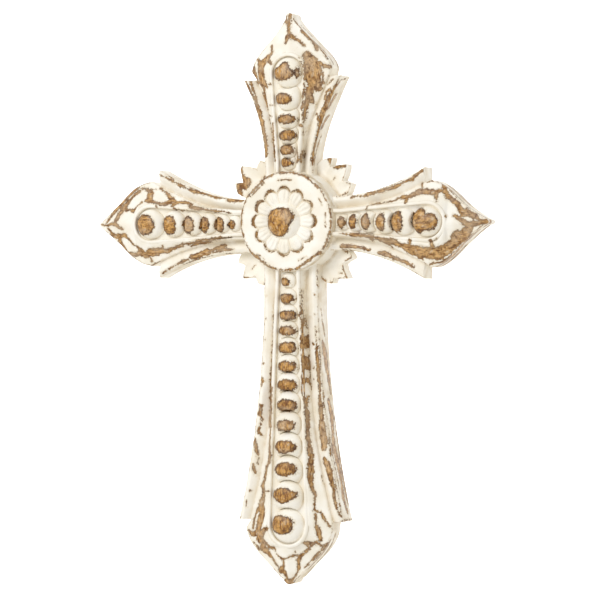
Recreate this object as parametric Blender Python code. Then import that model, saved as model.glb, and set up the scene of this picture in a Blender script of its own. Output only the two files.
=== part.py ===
# Carved wall cross: one board of pale hardwood, carved on the front and planed flat behind.
# Lengths are in metres. While it is carved the cross lies on its back on a bench:
# X across, Y towards the top arm, Z up from the flat back. The bench empty then stands it up,
# so that the front looks along -Y, the back lies on Y = 0 and the origin is behind the rosette.

import math
from dataclasses import dataclass

import bmesh
import bpy

# Reach of the arms, from the middle of the rosette to each tip
LEFT_REACH = 0.1525
RIGHT_REACH = 0.1485
TOP_REACH = 0.1485
FOOT_REACH = 0.2582
SIDE_DROP = 0.001           # the side arms sit this much below the middle of the rosette

# Heights above the back
RIM_Z = 0.0228              # lips along the bead channel
CHANNEL_FLOOR_Z = 0.0196
BLADE_EDGE_Z = 0.0166       # outer arris of the raised blade along an arm
FINIAL_EDGE_Z = 0.0150      # the same arris round the pointed end
TIP_Z = 0.0146
CREASE_Z = 0.0145           # valley between blade and flange
CREST_Z = 0.0181            # top of the flange
FLANGE_EDGE_Z = 0.0163
LEAF_HOLLOW_Z = 0.0088      # leaf where it dips towards the rosette
LEAF_TIP_Z = 0.0110
RING_Z = 0.0254             # flat ring of the rosette
BOSS_TOP_Z = 0.0313

# Flanges and blade
ROOT = 0.036                # where the arms come out of the rosette
EDGE_BREAK = 0.0006         # worn arris
CREST_SHARE = 0.66          # place of the crest between crease and outer edge
FINIAL_LENGTH = 0.0435      # shoulder to tip
FLANK_SLACK = 0.22          # share of straight taper mixed into the pointed end's curve
RIM_WIDTH = 0.002
CHANNEL_GAP = 0.0008        # between a bead and the channel's wall
TIP_FLAT = 0.25             # the rounded tips end in a flat this wide, as a share of their radius
BLADE_HOLLOW = 0.0007       # the blade's flanks are scooped by this much

SHORT_CREASE_HALF = 0.0102  # blade half width at the rosette
SHORT_SHOULDER_HALF = 0.030
SHORT_FLANGE_HALF = 0.018
SHORT_FLANGE_END_HALF = 0.0374
FOOT_CREASE_HALF = 0.0115
FOOT_SHOULDER_HALF = 0.0322
FOOT_FLANGE_HALF = 0.019
FOOT_FLANGE_END_HALF = 0.0397

# Beads
SHORT_BEADS = 6
FOOT_BEADS = 13
FIRST_BEAD = 0.042          # middle of the first bead from the middle of the rosette
FIRST_BEAD_R = 0.0059
SHORT_LAST_BEAD_R = 0.011
FOOT_LAST_BEAD_R = 0.0125
BEAD_RISE = 0.72            # height of a dome as a share of its radius

# Rosette
PETALS = 12
ROSETTE_R = 0.0355          # front edge of the ring
ROSETTE_FOOT_R = 0.0378     # its wall where it meets the leaves
SCALLOP_R = 0.0256          # inner edge of the ring behind a petal's middle
PETAL_R = 0.0226            # tip of a petal
PETAL_DIP = 0.0021          # neighbouring petals part this far inside their tips
POCKET_DEPTH = 0.0025
GROOVE_DEPTH = 0.0009
BOSS_R = 0.0125

# Outlines of the leaves between the arms; each runs from inside one arm's flange to inside the next
LEAVES = {
    "upper_left": [(-0.0170, 0.0390), (-0.0215, 0.0420), (-0.0265, 0.0440), (-0.0283, 0.0415), (-0.0295, 0.0380),
                   (-0.0350, 0.0395), (-0.0410, 0.0405), (-0.0420, 0.0380), (-0.0410, 0.0330), (-0.0400, 0.0285),
                   (-0.0465, 0.0280), (-0.0460, 0.0255), (-0.0445, 0.0210), (-0.0410, 0.0185), (-0.0380, 0.0165)],
    "upper_right": [(0.0170, 0.0390), (0.0200, 0.0420), (0.0240, 0.0443), (0.0305, 0.0452), (0.0298, 0.0415),
                    (0.0288, 0.0385), (0.0330, 0.0395), (0.0415, 0.0405), (0.0415, 0.0370), (0.0400, 0.0325),
                    (0.0382, 0.0292), (0.0410, 0.0280), (0.0452, 0.0265), (0.0440, 0.0235), (0.0430, 0.0210),
                    (0.0410, 0.0180), (0.0380, 0.0160)],
    "lower_right": [(0.0170, -0.0380), (0.0195, -0.0390), (0.0220, -0.0415), (0.0260, -0.0440), (0.0295, -0.0443),
                    (0.0303, -0.0425), (0.0308, -0.0403), (0.0360, -0.0408), (0.0415, -0.0405), (0.0405, -0.0380),
                    (0.0385, -0.0340), (0.0378, -0.0303), (0.0400, -0.0285), (0.0445, -0.0263), (0.0445, -0.0250),
                    (0.0435, -0.0230), (0.0410, -0.0205), (0.0380, -0.0180)],
    "lower_left": [(-0.0170, -0.0400), (-0.0220, -0.0445), (-0.0240, -0.0453), (-0.0280, -0.0440), (-0.0295, -0.0410),
                   (-0.0310, -0.0387), (-0.0350, -0.0400), (-0.0400, -0.0405), (-0.0396, -0.0360), (-0.0382, -0.0313),
                   (-0.0398, -0.0302), (-0.0433, -0.0293), (-0.0435, -0.0270), (-0.0425, -0.0245), (-0.0410, -0.0225),
                   (-0.0380, -0.0195)],
}

# Slot routed in the back for a nail
SLOT_WIDTH = 0.008
SLOT_LENGTH = 0.016
SLOT_DEPTH = 0.008
SLOT_FROM_TIP = 0.037       # tip of the top arm to the middle of the slot

BELOW = 0.003               # rough stock under the back, planed off at the end
INSIDE = 0.020              # the arms start this far from the origin, inside the rosette
PAINT = (0.93, 0.89, 0.80, 1.0)
PAINT_ROUGHNESS = 0.62


@dataclass
class Arm:
    name: str
    turn: float             # degrees, anticlockwise from the top arm as seen from the front
    drop: float             # shift down the wall
    reach: float
    tip_radius: float
    flange_end: float
    last_bead: float
    fullness: float         # how far the flanks of the pointed end swell
    wander: tuple           # sideways shift at the rosette, flange end, shoulder, mid flank and tip
    crease_half: float
    crease_sweep: float
    shoulder_half: float
    flange_half: float
    flange_end_half: float
    flange_sweep: float
    beads: int
    last_bead_r: float
    bead_evenness: float    # share of the bead row that is evenly spaced
    bead_stretch: float     # how late the rest of the spacing opens up
    steps: int              # stations along the flanges

    @property
    def point(self):
        # Where the flanks would meet if the tip weren't rounded
        return self.reach + 0.8 * self.tip_radius

    @property
    def shoulder(self):
        return self.point - FINIAL_LENGTH

    def sideways(self, s):
        # The carver's line isn't quite straight: eased from one given shift to the next
        stops = (ROOT, self.flange_end, self.shoulder, self.shoulder + 0.45 * FINIAL_LENGTH, self.reach)
        for here, following, shift, target in zip(stops, stops[1:], self.wander, self.wander[1:]):
            if s < following:
                t = min(max((s - here) / (following - here), 0), 1)
                return shift + (target - shift) * t ** 2 * (3 - 2 * t)
        return self.wander[-1]

    def along(self, s, end):
        # Share of the way from the rosette's wall to a station, held at both ends
        return min(max((s - ROOT) / (end - ROOT), 0), 1)

    def blade_half(self, s):
        # Crease curve up to the shoulder, then an ogee to the tip, closed by a round nose
        if s <= self.shoulder:
            t = self.along(s, self.shoulder)
            return self.crease_half + (self.shoulder_half - self.crease_half) * t ** self.crease_sweep
        nose = self.reach - self.tip_radius
        if s > nose:
            return max(math.sqrt(max(self.tip_radius ** 2 - (s - nose) ** 2, 0)), TIP_FLAT * self.tip_radius)
        u = ((s - self.shoulder) / (self.point - self.shoulder)) ** self.fullness
        wave = 0.5 * (1 + math.cos(math.pi * u))
        return max(self.shoulder_half * (wave + FLANK_SLACK * (1 - u - wave)), self.tip_radius)

    def flange_outer(self, s):
        t = self.along(s, self.flange_end)
        return self.flange_half + (self.flange_end_half - self.flange_half) * t ** self.flange_sweep

    def bead_place(self, i):
        # The beads stand closer by the rosette and spread towards the tip
        u = i / (self.beads - 1)
        share = self.bead_evenness * u + (1 - self.bead_evenness) * u ** self.bead_stretch
        return FIRST_BEAD + (self.last_bead - FIRST_BEAD) * share

    def bead_radius(self, s):
        t = min(max((s - FIRST_BEAD) / (self.last_bead - FIRST_BEAD), 0), 1)
        return FIRST_BEAD_R + (self.last_bead_r - FIRST_BEAD_R) * t ** 0.85

    def channel_half(self, s):
        return self.bead_radius(s) + CHANNEL_GAP

    def lip_half(self, s):
        # Outer edge of the channel's lip, which closes in a half circle past the last bead
        width = self.channel_half(s) + RIM_WIDTH
        if s > self.last_bead:
            width = math.sqrt(max(width ** 2 - (s - self.last_bead) ** 2, 0))
        return width

    def ridge_z(self, s):
        start = self.last_bead + self.channel_half(self.last_bead) + RIM_WIDTH
        t = min(max((s - start) / (self.reach - start), 0), 1)
        return RIM_Z + (TIP_Z - RIM_Z) * t

    def edge_z(self, s):
        t = min(max((s - self.flange_end) / (self.shoulder - self.flange_end), 0), 1)
        u = min(max((s - self.shoulder) / (self.reach - self.shoulder), 0), 1)
        return BLADE_EDGE_Z + (FINIAL_EDGE_Z - BLADE_EDGE_Z) * t + (TIP_Z - FINIAL_EDGE_Z) * u


def short_arm(name, turn, drop, reach, tip_radius, flange_end, last_bead, fullness, wander):
    return Arm(name, turn, drop, reach, tip_radius, flange_end, last_bead, fullness, wander,
               crease_half=SHORT_CREASE_HALF, crease_sweep=1.9, shoulder_half=SHORT_SHOULDER_HALF,
               flange_half=SHORT_FLANGE_HALF, flange_end_half=SHORT_FLANGE_END_HALF, flange_sweep=1.9,
               beads=SHORT_BEADS, last_bead_r=SHORT_LAST_BEAD_R,
               bead_evenness=0.74, bead_stretch=2.9, steps=9)


ARMS = [
    short_arm("top", 0, 0.0, TOP_REACH, 0.0028, 0.101, 0.1054, 1.0,
              (-0.0008, 0.0016, 0.0008, 0.0006, -0.0023)),
    short_arm("left", 90, SIDE_DROP, LEFT_REACH, 0.0008, 0.1035, 0.1084, 1.25,
              (0.0, 0.0, 0.0, 0.0008, 0.0)),
    short_arm("right", -90, SIDE_DROP, RIGHT_REACH, 0.0008, 0.1015, 0.1054, 1.1,
              (0.0, 0.0, 0.0004, 0.0022, 0.0004)),
    Arm("foot", 180, 0.0, FOOT_REACH, 0.0046, 0.2125, 0.2159, 1.1,
        (0.0, 0.0, 0.0010, 0.0010, 0.0018),
        crease_half=FOOT_CREASE_HALF, crease_sweep=2.4, shoulder_half=FOOT_SHOULDER_HALF,
        flange_half=FOOT_FLANGE_HALF, flange_end_half=FOOT_FLANGE_END_HALF, flange_sweep=2.0,
        beads=FOOT_BEADS, last_bead_r=FOOT_LAST_BEAD_R,
        bead_evenness=0.82, bead_stretch=3.7, steps=14),
]


def clear_scene():
    for obj in list(bpy.data.objects):
        bpy.data.objects.remove(obj, do_unlink=True)


def rubbed_paint():
    material = bpy.data.materials.new("cream_paint_over_wood")
    material.use_nodes = True
    shader = material.node_tree.nodes["Principled BSDF"]
    shader.inputs["Base Color"].default_value = PAINT
    shader.inputs["Roughness"].default_value = PAINT_ROUGHNESS
    shader.inputs["Metallic"].default_value = 0.0
    material.diffuse_color = PAINT
    return material


def add_empty(name, parent=None):
    empty = bpy.data.objects.new(name, None)
    bpy.context.scene.collection.objects.link(empty)
    empty.parent = parent
    return empty


def add_object(name, bm, material, parent, smooth_angle=35):
    bmesh.ops.remove_doubles(bm, verts=bm.verts, dist=1e-6)
    bmesh.ops.dissolve_degenerate(bm, edges=bm.edges, dist=1e-7)
    bmesh.ops.recalc_face_normals(bm, faces=bm.faces)
    mesh = bpy.data.meshes.new(name)
    bm.to_mesh(mesh)
    bm.free()
    mesh.shade_smooth()
    mesh.set_sharp_from_angle(angle=math.radians(smooth_angle))
    mesh.materials.append(material)
    obj = bpy.data.objects.new(name, mesh)
    bpy.context.scene.collection.objects.link(obj)
    obj.parent = parent
    return obj


def as_stock(obj, stock):
    # Pieces that only add to or cut from the cross aren't part of the model themselves
    bpy.context.scene.collection.objects.unlink(obj)
    stock.objects.link(obj)
    obj.hide_render = True
    obj.display_type = "WIRE"


def add_boolean(obj, name, operation, target=None, collection=None):
    modifier = obj.modifiers.new(name, "BOOLEAN")
    modifier.operation = operation
    modifier.solver = "EXACT"
    if collection:
        modifier.operand_type = "COLLECTION"
        modifier.collection = collection
    else:
        modifier.object = target
    return modifier


def loft(rows):
    # Closed loops of points, one per station, bridged with quads and capped at the ends
    bm = bmesh.new()
    loops = [[bm.verts.new(point) for point in row] for row in rows]
    count = len(loops[0])
    for here, following in zip(loops, loops[1:]):
        for i in range(count):
            j = (i + 1) % count
            bm.faces.new((here[i], here[j], following[j], following[i]))
    bm.faces.new(list(reversed(loops[0])))
    bm.faces.new(loops[-1])
    return bm


def prism(outline, low, high):
    # Flat outline in X and Y, standing from one height to another
    return loft([[(x, y, low) for x, y in outline], [(x, y, high) for x, y in outline]])


def blade_rows(arm):
    # Stations are even along the arm, closer round the lip's end and towards the tip
    stations = [INSIDE + (ROOT - INSIDE) * i for i in range(2)]
    stations += [ROOT + (arm.flange_end - ROOT) * i / arm.steps for i in range(1, arm.steps + 1)]
    lip_end = arm.last_bead + arm.channel_half(arm.last_bead) + RIM_WIDTH
    stations += [0.5 * (arm.flange_end + arm.shoulder), arm.shoulder]
    stations += [arm.last_bead + (lip_end - arm.last_bead) * math.sin(math.radians(a)) for a in (30, 50, 70, 90)]
    nose = arm.reach - arm.tip_radius
    stations += [lip_end + (nose - lip_end) * i / 6 for i in range(1, 7)]
    stations += [nose + arm.tip_radius * math.sin(math.radians(a)) for a in (35, 60, 90)]
    rows = []
    for s in sorted(set(stations)):
        half, lip = arm.blade_half(s), min(arm.lip_half(s), arm.blade_half(s))
        top, edge = arm.ridge_z(s), arm.edge_z(s)
        shift = arm.sideways(s)
        middle = shift * min(max((s - arm.last_bead) / (lip_end - arm.last_bead), 0), 1)
        broken = min(EDGE_BREAK, 0.3 * half)
        hollow = BLADE_HOLLOW * min((half - lip) / RIM_WIDTH, 1)
        sides = []
        for hand in (1, -1):
            sides.append([(middle + hand * lip, s, top),
                          (0.5 * (middle + shift + hand * (lip + half)), s, 0.5 * (top + edge) - hollow),
                          (shift + hand * (half - broken), s, edge),
                          (shift + hand * half, s, edge - broken),
                          (shift + hand * half, s, -BELOW)])
        rows.append([(middle, s, top)] + sides[0] + list(reversed(sides[1])))
    return rows


def flange_rows(arm, hand):
    rows = []
    for i in range(-1, arm.steps + 1):
        s = INSIDE if i < 0 else ROOT + (arm.flange_end - ROOT) * i / arm.steps
        crease, outer, shift = arm.blade_half(s), arm.flange_outer(s), arm.sideways(s)
        under_blade = crease - 0.003
        section = [(under_blade, -BELOW), (under_blade, CREASE_Z - 0.001), (crease, CREASE_Z),
                   (crease + CREST_SHARE * (outer - crease), CREST_Z),
                   (outer - EDGE_BREAK, FLANGE_EDGE_Z), (outer, FLANGE_EDGE_Z - EDGE_BREAK),
                   (outer, -BELOW)]
        rows.append([(shift + hand * x, s, z) for x, z in section])
    return rows


def channel_outline(arm):
    # Both walls of the bead channel and the half circle that closes it
    walls = [INSIDE + (arm.last_bead - INSIDE) * i / arm.steps for i in range(arm.steps + 1)]
    outline = [(arm.channel_half(s), s) for s in walls]
    radius = arm.channel_half(arm.last_bead)
    for i in range(1, 10):
        a = math.pi * i / 10
        outline.append((radius * math.cos(a), arm.last_bead + radius * math.sin(a)))
    outline += [(-x, s) for x, s in reversed(outline[:arm.steps + 1])]
    return outline


def add_arm(arm, bench, stock, material):
    pivot = add_empty(f"{arm.name}_arm", bench)
    pivot.rotation_euler = (0, 0, math.radians(arm.turn))
    pivot.location = (0, -arm.drop, 0)
    blade = add_object(f"{arm.name}_blade", loft(blade_rows(arm)), material, pivot)
    channel = add_object(f"{arm.name}_channel", prism(channel_outline(arm), CHANNEL_FLOOR_Z, RING_Z + BOSS_TOP_Z),
                         material, pivot)
    channel.hide_render = True
    channel.display_type = "WIRE"
    add_boolean(blade, "bead channel", "DIFFERENCE", target=channel)
    as_stock(blade, stock)
    for hand, side in ((1, "a"), (-1, "b")):
        as_stock(add_object(f"{arm.name}_flange_{side}", loft(flange_rows(arm, hand)), material, pivot), stock)
    for i in range(arm.beads):
        s = arm.bead_place(i)
        radius = arm.bead_radius(s)
        bm = bmesh.new()
        bmesh.ops.create_uvsphere(bm, u_segments=12, v_segments=8, radius=radius)
        bmesh.ops.scale(bm, vec=(1, 1, BEAD_RISE), verts=bm.verts)
        bead = add_object(f"{arm.name}_bead_{i + 1}", bm, material, pivot, smooth_angle=60)
        bead.location = (0, s, CHANNEL_FLOOR_Z - 0.0003)
        as_stock(bead, stock)


def leaf_rows(outline):
    # One radial section for each point of the outline; the leaf rises from its hollow to its tips
    inner = ROSETTE_R - 0.004
    rows = []
    for x, y in outline:
        outer = math.hypot(x, y)
        rise = LEAF_HOLLOW_Z + (LEAF_TIP_Z - LEAF_HOLLOW_Z) * min((outer - ROSETTE_FOOT_R) / 0.012, 1)
        section = [(inner, -BELOW), (inner, LEAF_HOLLOW_Z),
                   (ROSETTE_FOOT_R + 0.3 * (outer - ROSETTE_FOOT_R), LEAF_HOLLOW_Z),
                   (outer - EDGE_BREAK, rise), (outer, rise - EDGE_BREAK), (outer, -BELOW)]
        rows.append([(x * r / outer, y * r / outer, z) for r, z in section])
    return rows


def rosette_section(phase):
    # Radius and height from the boss out to the wall. phase runs from -1 to 1 across a petal, 0 at its middle
    bulge = 1 - phase ** 2
    gap = phase ** 4
    tip = PETAL_R - PETAL_DIP * phase ** 2
    scallop = max(SCALLOP_R - 0.004 * phase ** 2, tip + 0.0008)
    boss_base = RING_Z - 0.0012
    section = [(BOSS_R * math.sin(math.radians(a)),
                boss_base + (BOSS_TOP_Z - boss_base) * math.cos(math.radians(a))) for a in (24, 48, 70, 88)]
    section += [(BOSS_R + 0.0008, RING_Z - 0.0004 - GROOVE_DEPTH * gap),
                (0.55 * BOSS_R + 0.45 * tip, RING_Z + 0.0006 * bulge - GROOVE_DEPTH * gap),
                (tip - 0.0012, RING_Z - GROOVE_DEPTH * gap),
                (tip, RING_Z - 0.0007 - GROOVE_DEPTH * gap),
                (tip + 0.0004, RING_Z - 0.0011 - (POCKET_DEPTH - 0.0011) * bulge),
                (scallop, RING_Z - 0.0001),
                (0.5 * (SCALLOP_R + ROSETTE_R), RING_Z + 0.0003),
                (ROSETTE_R - EDGE_BREAK, RING_Z),
                (ROSETTE_R, RING_Z - EDGE_BREAK),
                (ROSETTE_FOOT_R, LEAF_HOLLOW_Z - 0.002),
                (ROSETTE_FOOT_R, -BELOW)]
    return section


def rosette_mesh(per_petal=6):
    bm = bmesh.new()
    count = PETALS * per_petal
    columns = []
    for i in range(count):
        angle = 2 * math.pi * i / count
        phase = 2 * (i % per_petal) / per_petal
        phase = phase - 2 if phase > 1 else phase
        columns.append([bm.verts.new((-r * math.sin(angle), r * math.cos(angle), z))
                        for r, z in rosette_section(phase)])
    centre = bm.verts.new((0, 0, BOSS_TOP_Z))
    for here, following in zip(columns, columns[1:] + columns[:1]):
        bm.faces.new((centre, here[0], following[0]))
        for j in range(len(here) - 1):
            bm.faces.new((here[j], here[j + 1], following[j + 1], following[j]))
    bm.faces.new([column[-1] for column in columns])
    return bm


def slot_outline(corner_steps=6):
    radius = SLOT_WIDTH / 2
    middle = TOP_REACH - SLOT_FROM_TIP
    straight = SLOT_LENGTH / 2 - radius
    outline = []
    for end in (1, -1):
        for i in range(corner_steps + 1):
            a = math.pi * i / corner_steps
            outline.append((end * radius * math.cos(a), middle + end * (straight + radius * math.sin(a))))
    return outline


def build():
    clear_scene()
    material = rubbed_paint()
    bench = add_empty("bench")
    stock = bpy.data.collections.new("carving")
    bpy.context.scene.collection.children.link(stock)

    cross = add_object("wall_cross", rosette_mesh(), material, bench)
    for arm in ARMS:
        add_arm(arm, bench, stock, material)
    for place, outline in LEAVES.items():
        as_stock(add_object(f"{place}_leaf", loft(leaf_rows(outline)), material, bench), stock)
    add_boolean(cross, "arms, leaves and beads", "UNION", collection=stock)

    extent = 2 * FOOT_REACH
    corners = [(-extent, -extent), (extent, -extent), (extent, extent), (-extent, extent)]
    planing = add_object("planing", prism(corners, -5 * BELOW, 0), material, bench)
    slot = add_object("nail_slot", prism(slot_outline(), -5 * BELOW - 0.001, SLOT_DEPTH), material, bench)
    for cutter, label in ((planing, "flat back"), (slot, "nail slot")):
        cutter.hide_render = True
        cutter.display_type = "WIRE"
        add_boolean(cross, label, "DIFFERENCE", target=cutter)

    bench.rotation_euler = (math.radians(90), 0, 0)
    bpy.context.view_layer.update()
    return cross


build()
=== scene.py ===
import math

import bpy
import bmesh
import numpy as np
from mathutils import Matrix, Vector


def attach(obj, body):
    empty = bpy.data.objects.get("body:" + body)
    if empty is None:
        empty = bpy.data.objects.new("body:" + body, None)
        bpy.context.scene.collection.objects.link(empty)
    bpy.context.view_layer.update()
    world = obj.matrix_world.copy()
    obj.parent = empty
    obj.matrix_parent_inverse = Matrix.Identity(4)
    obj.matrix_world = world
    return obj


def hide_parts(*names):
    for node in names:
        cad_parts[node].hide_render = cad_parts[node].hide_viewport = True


# Carved wall cross in rubbed cream paint.
# Sizes are millimetres on the carver's bench: x across, y towards the top arm, z up from the flat back.
# onTheWall() stands the bench up and turns it into metres: the front looks along -Y, the back lies on Y = 0.

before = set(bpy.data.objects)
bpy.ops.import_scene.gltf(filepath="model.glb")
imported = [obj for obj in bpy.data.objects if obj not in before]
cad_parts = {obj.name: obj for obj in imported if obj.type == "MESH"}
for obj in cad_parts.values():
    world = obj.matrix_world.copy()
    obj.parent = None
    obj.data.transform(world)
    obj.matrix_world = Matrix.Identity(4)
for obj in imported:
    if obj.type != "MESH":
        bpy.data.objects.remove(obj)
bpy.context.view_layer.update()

rimZ, floorZ = 22.8, 19.6  # channel's lip and floor
bladeEdgeZ, finialEdgeZ, tipZ = 16.6, 15.0, 14.6  # blade's arris by the flange, at the shoulder, at the tip
creaseZ, crestZ, flangeEdgeZ = 14.5, 18.1, 16.3  # flange beside the blade, at its crest, at its outer arris
ringZ, bossTopZ = 25.4, 31.3  # rosette
root, inside = 36.0, 20.0  # arms widen from the rosette's wall, and start inside it
bareFrom, perMm = 0.5, 0.1  # worn field: its value where bare wood starts, and its change for each mm


# Shaping helpers

def ease(t):
    # t*t*(3 - 2*t), with t held between 0 and 1
    t = np.clip(t, 0, 1)
    return t * t * (3 - 2 * t)


def easeAlong(s, stops, values):
    # from each stop's value to the next one's by ease(), held at both ends
    stops, values = np.array(stops, float), np.array(values, float)
    k = np.clip(np.searchsorted(stops, s, side="right") - 1, 0, len(stops) - 2)
    return values[k] + (values[k + 1] - values[k]) * ease((s - stops[k]) / (stops[k + 1] - stops[k]))


def waver(x, y, size, seed):
    # sum of a few sine waves across the plane over 1.5 times the root of their number: about -1 to 1;
    # wavelengths are near size, directions and phases by chance
    waves = 7
    rng = np.random.default_rng(seed)
    total = np.zeros(np.broadcast(x, y).shape)
    for direction, length, phase in zip(rng.uniform(0, math.pi, waves), rng.uniform(0.7, 1.5, waves),
                                        rng.uniform(0, 2 * math.pi, waves)):
        distance = x * math.cos(direction) + y * math.sin(direction)
        total += np.sin(distance * 2 * math.pi / (size * length) + phase)
    return total / waves ** 0.5 / 1.5


def strokeField(x, y, strokes):
    # bareFrom + perMm*(h - d) with d the distance from the stroke's line and h its half width there;
    # the largest wins; a stroke is a list of (x, y, h)
    worn = np.zeros(np.broadcast(x, y).shape)
    for line in strokes:
        points = np.array(line if len(line) > 1 else line * 2, float)
        for a, b in zip(points, points[1:]):
            run = b - a
            squared = max(float(run[:2] @ run[:2]), 1e-9)
            t = np.clip(((x - a[0]) * run[0] + (y - a[1]) * run[1]) / squared, 0, 1)
            d = np.hypot(x - a[0] - t * run[0], y - a[1] - t * run[1])
            worn = np.maximum(worn, bareFrom + perMm * (a[2] + t * run[2] - d))
    return np.clip(worn, 0, 1)


def ovalField(x, y, ovals):
    # bareFrom + perMm*h*(1 - d) with d the distance from the middle, 1 on the oval's edge, and h its smaller
    # half; an oval is (x, y, half width, half height)
    worn = np.zeros(np.broadcast(x, y).shape)
    for cx, cy, halfX, halfY in ovals:
        away = np.hypot((x - cx) / halfX, (y - cy) / halfY)
        worn = np.maximum(worn, bareFrom + perMm * min(halfX, halfY) * (1 - away))
    return np.clip(worn, 0, 1)


def arc(radius, start, end, half):
    # stroke round the middle, in degrees anticlockwise from the right, one point for each 12, two at least
    a = np.radians(np.linspace(start, end, max(2, int(abs(end - start) / 12))))
    return [(radius * math.cos(v), radius * math.sin(v), half) for v in a]


def roundOver(points, passes):
    # each point moves to the weighted mean of itself (2) and its two neighbours round the section (1 each)
    for _ in range(passes):
        points = 0.25 * np.roll(points, 1, axis=1) + 0.5 * points + 0.25 * np.roll(points, -1, axis=1)
    return points


def onTheWall(points):
    # (x, y, z) in mm on the bench becomes (x, -z, y) in metres
    return np.stack([points[..., 0], -points[..., 2], points[..., 1]], axis=-1) * 0.001


def turned(points, degrees, drop):
    # turn about the rosette's axis, then shift down the wall
    a = math.radians(degrees)
    x = points[..., 0] * math.cos(a) - points[..., 1] * math.sin(a)
    y = points[..., 0] * math.sin(a) + points[..., 1] * math.cos(a) - drop
    return np.stack([x, y, points[..., 2]], axis=-1)


def quadsOf(rows, cols):
    # corners of the quads between neighbouring rows and columns; the last column meets the first
    i = np.arange(rows - 1)[:, None] * cols
    j = np.arange(cols)[None, :]
    k = (j + 1) % cols
    return np.stack([i + j, i + k, i + cols + k, i + cols + j], axis=-1).reshape(-1, 4)


def quadsAndEnds(rows, cols):
    # the same with a flat face over the first row and another over the last
    return quadsOf(rows, cols).tolist() + [list(range(cols)), list(range((rows - 1) * cols, rows * cols))]


def makePiece(name, points, worn, grimeAndShade, faces, scorch=0.5, level=0.0):
    # worn says where the paint is gone, grime where dirt has settled and where shade is painted into creases
    # and hollows, scorch how dark the torn edges are and how warm the wood, level is 1 on a level arm, where
    # the grain runs along x; points closer than a ten thousandth of a millimetre become one, and edges
    # sharper than
    # 50 degrees stay sharp
    mesh = bpy.data.meshes.new(name)
    mesh.from_pydata(onTheWall(points.reshape(-1, 3)), [], faces)
    for field, values in (("worn", worn), ("grimeAndShade", grimeAndShade), ("scorch", scorch), ("level", level)):
        values = np.broadcast_to(np.float32(values), worn.shape)
        mesh.attributes.new(field, "FLOAT", "POINT").data.foreach_set("value", values.ravel())
    bm = bmesh.new()
    bm.from_mesh(mesh)
    bmesh.ops.remove_doubles(bm, verts=bm.verts, dist=1e-7)
    bmesh.ops.dissolve_degenerate(bm, edges=bm.edges, dist=1e-7)
    bmesh.ops.recalc_face_normals(bm, faces=bm.faces)
    bm.to_mesh(mesh)
    bm.free()
    mesh.shade_smooth()
    mesh.set_sharp_from_angle(angle=math.radians(50))
    mesh.materials.append(paintMaterial)
    piece = bpy.data.objects.new(name, mesh)
    bpy.context.scene.collection.objects.link(piece)
    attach(piece, "root")
    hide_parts("wall_cross")
    print(f"{name}: {len(mesh.polygons)} faces")


# Materials

def linear(hexColour):
    # sRGB hex to linear light
    channels = [int(hexColour[i:i + 2], 16) / 255 for i in (1, 3, 5)]
    return tuple(c / 12.92 if c <= 0.04045 else ((c + 0.055) / 1.055) ** 2.4 for c in channels) + (1.0,)


def addNode(tree, kind, links=None, **settings):
    # links maps a socket's name or number to the output that feeds it or to a plain value;
    # settings are the node's own properties
    node = tree.nodes.new(kind)
    for key, value in settings.items():
        setattr(node, key, value)
    for socket, source in (links or {}).items():
        if hasattr(source, "is_output"):
            tree.links.new(source, node.inputs[socket])
        else:
            node.inputs[socket].default_value = source
    return node


def noise(tree, place, sizeMm, detail=3.0, roughness=0.55, stretch=None):
    # fractal noise whose largest lumps are about sizeMm apart
    if stretch:
        place = addNode(tree, "ShaderNodeMapping", {"Vector": place, "Scale": stretch}).outputs["Vector"]
    return addNode(tree, "ShaderNodeTexNoise", {"Vector": place, "Scale": 1000 / sizeMm, "Detail": detail,
                                                "Roughness": roughness}).outputs["Fac"]


def maths(tree, operation, *values):
    return addNode(tree, "ShaderNodeMath", dict(enumerate(values)), operation=operation).outputs[0]


def ramp(tree, value, low, high, toLow=0.0, toHigh=1.0):
    return addNode(tree, "ShaderNodeMapRange", {"Value": value, "From Min": low, "From Max": high,
                                                "To Min": toLow, "To Max": toHigh},
                   interpolation_type="SMOOTHSTEP").outputs["Result"]


def mixColour(tree, share, first, second):
    return addNode(tree, "ShaderNodeMix", {0: share, 6: first, 7: second}, data_type="RGBA").outputs[2]


# the dirt colour is the tan of settled dirt and of shade painted into creases and hollows
paintColours = dict(
    cream="#fbf7ed", shade="#f4eddd", thinned="#dccaa9", specks="#cdb891", dirtAndShade="#c2a878",
    wood="#d9ad70", woodDeep="#835523", beadWood="#d3a055", beadWoodDeep="#80501c", greyed="#c9b091",
    paintFlecks="#e3d3b6", pores="#5f3c1b", tornEdge="#472a13",
)


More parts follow.
